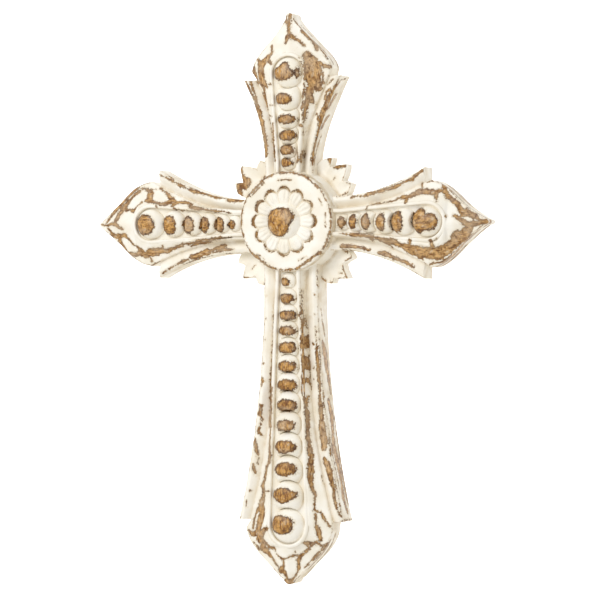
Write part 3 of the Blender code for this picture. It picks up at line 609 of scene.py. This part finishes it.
def armSection(arm, s, flanged, hand):
    # half a section, from the middle of the front round to the middle of the back, for every station at once;
    # hand is 1 for the right half and -1 for the left
    half = bladeHalf(arm, s)
    shift = sideways(arm, s)
    outer = np.where(flanged, flangeOuter(arm, s), half)
    crest = half + arm["crestShare"] * (outer - half)
    inner = np.maximum(np.minimum(channelHalf(arm, s) + arm["rimWidth"], 0.6 * half), 0.22 * half)
    zero = 0 * s

    front = [zero[:, None], spread(zero, inner, lipCols), spread(inner, half, bladeCols)]
    front = np.concatenate(front, axis=1)
    top = bladeTop(arm, s[:, None], front)
    low, rise, arris = [np.where(flanged, flangeZ, wallZ)
                        for flangeZ, wallZ in zip((creaseZ, crestZ, flangeEdgeZ), plainWallZ)]
    # flange: a hollow rise of 0.35*t + 0.65*ease(t) from the crease to the crest, then a chamfer down to the
    # outer arris
    t = np.arange(1, flangeCols + 1) / flangeCols
    w = [front, spread(half, half + 0.2 * flanged, creaseCols), half[:, None] + (crest - half)[:, None] * t,
         spread(crest, outer, chamferCols), spread(outer, outer, wallCols)]
    z = [top, spread(top[:, -1], low, creaseCols),
         low[:, None] + (rise - low)[:, None] * (0.35 * t + 0.65 * t * t * (3 - 2 * t)),
         spread(rise, arris, chamferCols), spread(arris, zero, wallCols)]
    # back, with the routed slot where there is one; elsewhere the slot's columns lie near the middle
    radius = nailSlot["radius"]
    past = np.abs(s - (arm["reach"] - nailSlot["fromTip"])) - (nailSlot["halfLength"] - radius)
    past = np.maximum(past, 0)
    inSlot = arm["slot"] & (past < 0.97 * radius)
    side = np.where(inSlot, np.sqrt(np.maximum(radius ** 2 - past ** 2, 0)), np.minimum(1.0, 0.3 * half))
    depth = np.where(inSlot, nailSlot["depth"], 0.0)
    w += [spread(outer, side, backCols), spread(side, side, nailSlot["wallCols"]),
          spread(side, zero, nailSlot["floorCols"])]
    z += [spread(zero, zero, backCols), spread(zero, depth, nailSlot["wallCols"]),
          spread(depth, depth, nailSlot["floorCols"])]
    w, z = np.concatenate(w, axis=1), np.concatenate(z, axis=1)
    # the right-hand flange may end further out than the left: lean*ease((x - 20)/18)*exp(-((s - end)/14)^2)
    x = shift[:, None] + hand * w
    y = s[:, None] + arm["lean"] * ease((x - 20) / 18) * np.exp(-((s - arm["flangeEnd"]) / 14) ** 2)[:, None]
    return np.stack([x, y, z], axis=-1)


def addToArm(arm, part, points, worn, grimeAndShade, faces, scorch=0.5):
    # every piece of an arm is shaped on the upright one and turned with it; a level arm's grain runs along x
    points = turned(points, arm["turn"], arm["drop"])
    makePiece(arm["name"].replace("arm", part), points, worn, grimeAndShade, faces, scorch, abs(arm["turn"]) == 90)


# how far the paint is rubbed on an arm's edges, walls and back, on the worn field's scale
armWear = dict(bladeArris=0.41, finialArris=0.51, flangeArris=0.51, underFinial=0.40, wall=0.34, wallTop=0.49,
               wallFoot=0.46, back=0.36)


def buildArm(arm):
    # both halves of the section make a loop, which is smoothed, wavered and worn, and carried along the arm
    s, flanged = armRows(arm)
    right, left = armSection(arm, s, flanged, 1), armSection(arm, s, flanged, -1)
    loop = np.concatenate([right, left[:, -2:0:-1]], axis=1)
    rounded = roundOver(loop, 2)
    # below 9.5 mm nothing is smoothed: the back stays flat, and the slot's walls square
    front = loop[..., 2] > 9.5
    loop = np.where(front[..., None], rounded, loop)
    x, y, z = loop[..., 0], loop[..., 1], loop[..., 2]
    # all that faces forwards is a little uneven
    high = ease((z - 12.5) / 2)
    z = z + high * (0.22 * waver(x, y, size=17, seed=3) + 0.10 * waver(x, y, size=6, seed=4))

    # the side walls have their own strokes of (s, z, h)
    column = np.arange(x.shape[1])
    fromFront = np.minimum(column, len(column) - column)
    onWall = fromFront[None, :] > np.where(flanged, outerCol - 1, arrisCol + 1)[:, None]
    half = bladeHalf(arm, s)[:, None]
    outer = np.where(flanged, flangeOuter(arm, s), half[:, 0])[:, None]
    fromMiddle = np.abs(x - sideways(arm, s)[:, None])
    worn = np.minimum(strokeField(x, y, arm["strokes"]), 1 - ovalField(x, y, arm["kept"]))
    arris = np.where(flanged[:, None], armWear["bladeArris"], armWear["finialArris"])
    arris = arris - perMm * np.abs(fromMiddle - half + 0.3)
    chamfer = np.where(flanged[:, None], armWear["flangeArris"], armWear["underFinial"])
    chamfer = chamfer - perMm * np.abs(fromMiddle - outer + 0.4)
    patchy = 0.06 * waver(x, y, size=22, seed=8)
    worn = np.maximum(worn, np.maximum(arris, chamfer) + patchy)
    walls = np.where(x > 0, strokeField(y, z, arm["rightWall"]), strokeField(y, z, arm["leftWall"]))
    walls = np.maximum(walls, armWear["wall"] + 0.05 * waver(y * 0.6, z * 1.6, size=11, seed=9))
    topEdge = armWear["wallTop"] - perMm * np.abs(z - np.where(flanged[:, None], 15.6, 14.2))
    walls = np.maximum(walls, np.maximum(armWear["wallFoot"] - perMm * z, topEdge) + patchy)
    worn = np.where(onWall, np.where(z > 0.05, walls, armWear["back"]), worn)
    # dirt lies in patches on the walls, and the crease beside the blade is darkened with dirt and painted
    # shade
    crease = np.exp(-((fromMiddle - half - 0.6) / 1.7) ** 2) * flanged[:, None]
    grimeAndShade = np.where(onWall, 0.30 + 0.25 * waver(y * 0.5, z, size=12, seed=10), 0.35 * crease)
    # bare wood lies 0.3 mm below the paint
    z = z - high * 0.3 * ease((worn - 0.47) / 0.08)
    rows, cols = x.shape
    faces = quadsOf(rows, cols).tolist() + [list(range(cols))]
    addToArm(arm, "arm", np.stack([x, y, z], axis=-1), worn, np.clip(grimeAndShade, 0, 1), faces)


def buildLip(arm):
    # section of (distance outside the channel's wall, height), carried along the wall and round its end
    section = np.array([
        (-0.25, floorZ - 1.5), (-0.2, floorZ), (-0.05, floorZ + 1.4), (0.1, rimZ - 0.7), (0.3, rimZ - 0.2),
        (0.7, rimZ + 0.1), (1.2, rimZ + 0.15), (1.7, rimZ), (2.3, rimZ - 0.45), (2.9, rimZ - 1.1),
        (2.9, floorZ - 1.5),
    ])
    s = np.linspace(inside, arm["lastBead"], int((arm["lastBead"] - inside) / 0.8))
    a = np.linspace(0, math.pi, 61)[1:-1]
    radius = channelHalf(arm, np.array(arm["lastBead"]))
    pathX = np.concatenate([channelHalf(arm, s), radius * np.cos(a), -channelHalf(arm, s)[::-1]])
    pathY = np.concatenate([s, arm["lastBead"] + radius * np.sin(a), s[::-1]])
    normal = np.concatenate([0 * s, a, 0 * s + math.pi])
    n, z = section[None, :, 0], section[None, :, 1]
    x = pathX[:, None] + n * np.cos(normal)[:, None]
    y = pathY[:, None] + n * np.sin(normal)[:, None]
    z = z + 0.12 * waver(x, y, size=14, seed=5)
    worn = strokeField(x, y, arm["strokes"])
    # painted shade and dirt darken the lip's walls below its top, towards the channel's floor
    grimeAndShade = 0.6 * ease((rimZ - 0.3 - z) / 1.5)
    addToArm(arm, "channel_lip", np.stack([x, y, z], axis=-1), worn, grimeAndShade, quadsAndEnds(*x.shape))


def beadPlaces(arm):
    # evenly spaced by the rosette, opening towards the tip: e*u + (1 - e)*u^stretch
    u = np.arange(arm["beads"]) / (arm["beads"] - 1)
    share = arm["evenness"] * u + (1 - arm["evenness"]) * u ** arm["stretch"]
    return arm["firstBead"] + (arm["lastBead"] - arm["firstBead"]) * share


beadForm = dict(rings=26, spokes=64, height=0.72, cut=1.1, sunk=0.3, skirt=1.5, rubbed=0.045)


def buildBeads(arm):
    # domes on polar grids: r = R*sin(a) and height*R*cos(a), each cut away along the circle of the next,
    # larger one: times sqrt(clip((distance - next R)/cut, 0, 1)); a short skirt and a pole below close it
    rings, spokes = beadForm["rings"], beadForm["spokes"]
    places = beadPlaces(arm)
    radii = beadRadius(arm, places)
    nextPlace, nextRadius = np.append(places[1:], 1e4), np.append(radii[1:], 1.0)
    a = np.linspace(0, math.pi / 2, rings)
    turn = np.arange(spokes) * 2 * math.pi / spokes
    r = radii[:, None, None] * np.sin(a)[None, :, None]
    x = r * np.cos(turn)[None, None, :]
    y = places[:, None, None] + r * np.sin(turn)[None, None, :]
    dome = beadForm["height"] * radii[:, None, None] * np.cos(a)[None, :, None] * np.ones_like(x)
    toNext = np.hypot(x, y - nextPlace[:, None, None]) - nextRadius[:, None, None]
    z = floorZ - beadForm["sunk"] + dome * np.sqrt(np.clip(toNext / beadForm["cut"], 0, 1))
    skirt = np.stack([x[:, -1], y[:, -1], 0 * x[:, -1] + floorZ - beadForm["skirt"]], axis=-1)[:, None]
    pole = np.zeros((len(places), 1, spokes, 3))
    pole[..., 1] = places[:, None, None]
    pole[..., 2] = floorZ - beadForm["skirt"]
    points = np.concatenate([np.stack([x, y, z], axis=-1), skirt, pole], axis=1)
    worn = np.clip(ovalField(points[..., 0], points[..., 1], arm["bare"]) + beadForm["rubbed"], 0, 1)
    # painted shade and dirt darken the beads low down, where they sit in the channel
    grimeAndShade = 0.6 * ease((floorZ + 1.4 - points[..., 2]) / 1.8)
    rows, cols = rings + 2, spokes
    faces = (quadsOf(rows, cols)[None] + np.arange(len(places))[:, None, None] * rows * cols).reshape(-1, 4)
    addToArm(arm, "beads", points, worn, grimeAndShade, faces.tolist(), scorch=1.0)


for arm in arms:
    buildArm(arm)
    buildLip(arm)
    buildBeads(arm)


# Rosette

rosette = dict(
    petals=12, perPetal=40, radius=35.5, footRadius=37.8, footZ=6.8, scallop=25.8, scallopDip=4.6,
    petal=22.8, petalDip=3.2, pocket=2.5, groove=0.9, boss=12.5, offset=-1.7, warmWithin=14.0,
    backZ=0.4,  # its back lies a little in, so that it doesn't meet the arms' backs in one plane
    bare=[(-3.2, 2.4, 11.2, 7.6), (-4.4, -2.6, 9.4, 8.6)],
    strokes=[
        # rim of the ring
        arc(35, 62, 118, 0.9), arc(34.8, 20, 62, 0.8), arc(34.8, -40, 20, 0.8), arc(34.6, -75, -40, 1.1),
        arc(34.9, -112, -75, 0.8), arc(34.8, -140, -112, 1.1), arc(34.9, -190, -140, 0.8),
        arc(34.6, 118, 150, 0.9), arc(34.9, 150, 172, 0.7), arc(32.2, 122, 146, 0.7),
        # scratches on the ring
        arc(29.8, 82, 102, 0.5), arc(29.6, -58, -70, 0.4), arc(31, -8, 10, 0.4), arc(30.2, 22, 32, 0.4),
        arc(31.5, -132, -122, 0.4),
    ],
    # half widths of the bare crescents behind the petals, anticlockwise from the top one
    crescents=[0.9, 0.8, 1.5, 1.0, 0.8, 0.5, 0.7, 0.8, 1.0, 1.3, 1.0, 1.1],
)


def throughKnots(knots, counts):
    # straight runs between neighbouring knots (radius, height), cut into the given numbers of steps
    knots = np.stack([np.stack(knot, axis=-1) for knot in knots], axis=1)
    parts = [knots[:, :1]]
    for k, count in enumerate(counts):
        t = (np.arange(1, count + 1) / count)[None, :, None]
        parts.append(knots[:, k:k + 1] + (knots[:, k + 1:k + 2] - knots[:, k:k + 1]) * t)
    return np.concatenate(parts, axis=1)


def buildRosette(form):
    # height over radius for every spoke: dome, round groove, petals that bulge by 0.6*(1 - phase^2), pleats
    # between them, pockets behind their tips, flat ring, wall, back; phase runs from -1 to 1 over each petal
    count = form["petals"] * form["perPetal"]
    angle = 2 * math.pi * np.arange(count) / count
    phase = 2 * ((np.arange(count) / form["perPetal"] + 0.5) % 1) - 1
    bulge, gap = 1 - phase ** 2, phase ** 4
    tip = form["petal"] - form["petalDip"] * phase ** 2
    scallop = np.maximum(form["scallop"] - form["scallopDip"] * phase ** 2, tip + 0.8)
    bossBase = ringZ - 1.2
    one = np.ones(count)
    domeAngles = np.radians([0, 12, 24, 36, 48, 60, 70, 80, 88])
    bossHeight = bossTopZ - bossBase
    knots = [(form["boss"] * math.sin(a) * one, (bossBase + bossHeight * math.cos(a)) * one)
             for a in domeAngles]
    knots += [((form["boss"] + 0.8) * one, ringZ - 0.4 - form["groove"] * gap),
              (0.55 * form["boss"] + 0.45 * tip, ringZ + 0.6 * bulge - form["groove"] * gap),
              (tip - 1.2, ringZ - form["groove"] * gap),
              (tip, ringZ - 0.7 - form["groove"] * gap),
              (tip + 0.4, ringZ - 1.1 - (form["pocket"] - 1.1) * bulge),
              (scallop, (ringZ - 0.1) * one),
              (0.5 * (form["scallop"] + form["radius"]) * one, (ringZ + 0.3) * one),
              ((form["radius"] - 0.4) * one, ringZ * one),
              (form["radius"] * one, (ringZ - 0.5) * one),
              (form["footRadius"] * one, form["footZ"] * one),
              (form["footRadius"] * one, form["backZ"] * one),
              (0 * one, form["backZ"] * one)]
    section = throughKnots(knots, [3] * 8 + [3, 8, 5, 3, 3, 8, 10, 8, 2, 22, 6, 4])
    # smoothed twice along each spoke, but for the corners low on the wall
    middle = section[:, 1:-1]
    smooth = middle.copy()
    for _ in range(2):
        smooth[:, 1:-1] = 0.25 * smooth[:, :-2] + 0.5 * smooth[:, 1:-1] + 0.25 * smooth[:, 2:]
    keep = middle[..., 1:2] < 9
    section[:, 1:-1] = np.where(keep, middle, smooth)
    r, z = section[..., 0], section[..., 1]
    # three soft flutes on each petal: cos(3*pi*phase)
    onPetal = ease((r - form["boss"] - 1) / 3) * ease((tip[:, None] - r) / 1.5)
    z = z + 0.34 * onPetal * np.cos(3 * math.pi * phase)[:, None]
    petalOf = (np.arange(count) / form["perPetal"] + 0.5).astype(int) % form["petals"]
    crescent = np.array(form["crescents"])[petalOf]
    # crescents h*(1 - phase^4) - |r - tip - 1.5| on the worn field's scale, kept off the wall
    pocket = (crescent * (1 - phase ** 4))[:, None] - np.abs(r - tip[:, None] - 1.5)
    pocket = bareFrom + perMm * pocket - (z < 12)
    # the flower is carved a little to the left of the ring's middle
    x, y = -r * np.sin(angle)[:, None] + form["offset"] * ease((30 - r) / 6), r * np.cos(angle)[:, None]
    uneven = 0.18 * waver(x, y, size=15, seed=31) + 0.07 * waver(x, y, size=5, seed=32)
    z = z + ease((z - 12) / 3) * uneven * np.clip(r / 4, 0, 1)
    worn = np.maximum(strokeField(x, y, form["strokes"]), ovalField(x, y, form["bare"])) * (z > 12)
    worn = np.maximum(worn, pocket)
    # painted shade and dirt in the groove and the pockets sunk below the ring, and low on the wall
    grimeAndShade = 0.65 * ease((ringZ - 0.7 - z) / 1.3) * (z > 20) + 0.55 * ease((10.5 - z) / 3) * (z > 4)
    behind = z < 1
    worn, grimeAndShade = np.where(behind, armWear["back"], worn), np.where(behind, 0.30, grimeAndShade)
    points = np.stack([x, y, z], axis=-1)
    # rows become rings, so that the columns close round the axis
    points, worn, grimeAndShade = points.transpose(1, 0, 2), worn.T, grimeAndShade.T
    scorch = np.where(r < form["warmWithin"], 1.0, 0.5).T
    makePiece("rosette", points, worn, grimeAndShade, quadsOf(*worn.shape).tolist(), scorch=scorch)


buildRosette(rosette)


# Leaves between the arms

leafForm = dict(hollow=8.8, tip=11.0, inner=31.5, backZ=0.2, sections=131)

leaves = [
    dict(
        leafForm, name="leaf_upper_left", seed=41,
        outline=[
            (-17, 39), (-21.5, 42), (-26.5, 44), (-28.3, 41.5), (-29.5, 38), (-35, 39.5), (-41, 40.5),
            (-42, 38), (-41, 33), (-40, 28.5), (-46.5, 28), (-46, 25.5), (-44.5, 21), (-41, 18.5),
            (-38, 16.5),
        ],
        strokes=[
            [(-43, 26.5, 2.2), (-39, 26.5, 3.4), (-37, 29.5, 3)],
            [(-38.5, 31, 1.6), (-40.5, 35, 1), (-41, 40, 1)], [(-43, 24, 2), (-42, 20, 1.6)],
            [(-26, 44, 0.7), (-22, 43, 0.8)], arc(41.5, 118, 152, 0.7),
        ],
    ),
    dict(
        leafForm, name="leaf_upper_right", seed=42,
        outline=[
            (17, 39), (19.5, 42), (23, 44.3), (29.3, 45.2), (28.6, 41.5), (27.7, 38.5), (32, 39.5),
            (40.3, 40.5), (40.3, 37), (39, 32.5), (37.4, 29.2), (40, 28), (44, 26.5), (42.9, 23.5),
            (42, 21), (40.2, 18), (38, 16),
        ],
        strokes=[
            [(27.5, 44.3, 1.3), (28.5, 41, 1.2)],
            [(31, 38, 0.8), (35, 38.5, 1.4), (41, 39.5, 1), (40.3, 35, 0.6), (39, 31, 0.5)],
            [(41, 27.5, 0.8), (44.5, 26, 0.8)], [(43.5, 22, 0.6), (40, 19.5, 0.6), (35, 18.6, 0.5)],
            [(29.5, 29, 0.35), (31, 31, 0.3)],
        ],
    ),
    dict(
        leafForm, name="leaf_lower_right", seed=43,
        outline=[
            (17, -38), (19.5, -39), (22, -41.5), (26, -44), (29.5, -44.3), (30.3, -42.5), (30.8, -40.3),
            (36, -40.8), (41.5, -40.5), (40.5, -38), (38.5, -34), (37.8, -30.3), (40, -28.5), (44.5, -26.3),
            (44.5, -25), (43.5, -23), (41, -20.5), (38, -18),
        ],
        strokes=[
            [(44, -26, 0.9), (40.5, -28, 1)], [(38, -31.5, 0.9), (39, -35, 1.2), (40.5, -39.5, 1.1)],
            [(34.5, -36.5, 0.6), (36.5, -36.8, 0.6)], [(20, -39.3, 1.2), (24, -42.5, 1.2)],
            [(28.5, -43.7, 1.1)], [(41, -21.5, 1), (37, -19.5, 1.2)],
            [(34, -40.6, 0.4), (39, -40.5, 0.5)],
        ],
    ),
    dict(
        leafForm, name="leaf_lower_left", seed=44,
        outline=[
            (-17, -40), (-22, -44.5), (-24, -45.3), (-28, -44), (-29.5, -41), (-31, -38.7), (-35, -40),
            (-40, -40.5), (-39.6, -36), (-38.2, -31.3), (-39.8, -30.2), (-43.3, -29.3), (-43.5, -27),
            (-42.5, -24.5), (-41, -22.5), (-38, -19.5),
        ],
        strokes=[
            [(-39.5, -36.5, 0.7), (-39.5, -39.8, 1), (-36, -40, 0.6)],
            [(-33.5, -33.5, 0.35), (-31, -30.5, 0.3)], [(-23, -44.3, 0.8), (-21.5, -42.5, 0.8)],
            [(-43, -29, 0.6)],
        ],
    ),
]


def buildLeaf(form):
    # radius over angle follows the outline; height eases from the hollow by the rosette to the tips
    outline = np.array(form["outline"], float)
    knotAngles = np.unwrap(np.arctan2(outline[:, 1], outline[:, 0]))
    knotRadii = np.hypot(outline[:, 0], outline[:, 1])
    if knotAngles[0] > knotAngles[-1]:
        knotAngles, knotRadii = knotAngles[::-1], knotRadii[::-1]
    angles = np.linspace(knotAngles[0], knotAngles[-1], form["sections"])
    outer = np.interp(angles, knotAngles, knotRadii)
    one = np.ones(len(angles))
    foot = rosette["footRadius"]
    rise = form["hollow"] + (form["tip"] - form["hollow"]) * ease((outer - foot) / 12)
    knots = [(form["inner"] * one, form["backZ"] * one), (form["inner"] * one, form["hollow"] * one),
             (foot + 0.3 * (outer - foot), form["hollow"] * one), (outer - 0.4, rise), (outer, rise - 0.5),
             (outer, form["backZ"] * one)]
    steps = [2, 10, 20, 1, 10]
    section = throughKnots(knots, steps)
    r, z = section[..., 0], section[..., 1]
    x, y = r * np.cos(angles)[:, None], r * np.sin(angles)[:, None]
    z = z + ease((z - 6) / 2) * 0.2 * waver(x, y, size=11, seed=form["seed"])
    # down the walls only the edge is worn
    onWall = np.arange(r.shape[1]) > sum(steps[:3])
    rim = 0.49 - perMm * (outer[:, None] - r) + 0.05 * waver(x, y, size=9, seed=12)
    face = np.maximum(strokeField(x, y, form["strokes"]), rim)
    worn = np.where(onWall[None, :], 0.53 - perMm * (rise[:, None] - z), face * (z > 4))
    worn = np.where(onWall[None, :] & (z < rise[:, None] - 0.6), np.minimum(worn, 0.47), worn)
    # painted shade and dirt in the hollow by the rosette, and low on the walls
    grimeAndShade = 0.6 * ease((41 - r) / 3) + 0.2 * (z < 8)
    makePiece(form["name"], np.stack([x, y, z], axis=-1), worn, grimeAndShade, quadsAndEnds(*r.shape))


for form in leaves:
    buildLeaf(form)


# Studio

def addPlane(name, corners, material):
    mesh = bpy.data.meshes.new(name)
    mesh.from_pydata(corners, [], [(0, 1, 2, 3)])
    mesh.materials.append(material)
    plane = bpy.data.objects.new(name, mesh)
    bpy.context.scene.collection.objects.link(plane)


def addLight(name, place, target, size, power):
    data = bpy.data.lights.new(name, "AREA")
    data.size = size
    data.energy = power
    light = bpy.data.objects.new(name, data)
    light.location = place
    light.rotation_euler = (Vector(target) - Vector(place)).to_track_quat("-Z", "Y").to_euler()
    bpy.context.scene.collection.objects.link(light)


# pale matt floor well below, and a lit white sheet well behind
addPlane("floor", [(-3, -3, -1.2), (3, -3, -1.2), (3, 3, -1.2), (-3, 3, -1.2)],
         plainMaterial("pale_floor", "#efece6"))
addPlane("backdrop", [(-4, 2.6, -2), (4, 2.6, -2), (4, 2.6, 3), (-4, 2.6, 3)],
         plainMaterial("white_sheet", "#ffffff", glow=1.0))

world = bpy.data.worlds.new("studio")
world.use_nodes = True
background = world.node_tree.nodes["Background"]
background.inputs["Color"].default_value = (1, 1, 1, 1)
background.inputs["Strength"].default_value = 0.71
bpy.context.scene.world = world
addLight("softbox_left", place=(-0.6, -1.9, 1.1), target=(0, 0, -0.05), size=1.2, power=21.5)

# camera at the photograph's place: 23.5 degrees to the right, level, 2.25 m away
viewAngle, viewDistance, viewHeight = math.radians(23.5), 2.25, -0.0558
camera = bpy.data.cameras.new("camera")
camera.lens, camera.sensor_width = 188.65, 36
cameraObject = bpy.data.objects.new("camera", camera)
cameraObject.location = (viewDistance * math.sin(viewAngle), -viewDistance * math.cos(viewAngle), viewHeight)
cameraObject.rotation_euler = (math.radians(90), 0, viewAngle)
bpy.context.scene.collection.objects.link(cameraObject)
bpy.context.scene.camera = cameraObject
bpy.context.scene.view_settings.view_transform = "Standard"
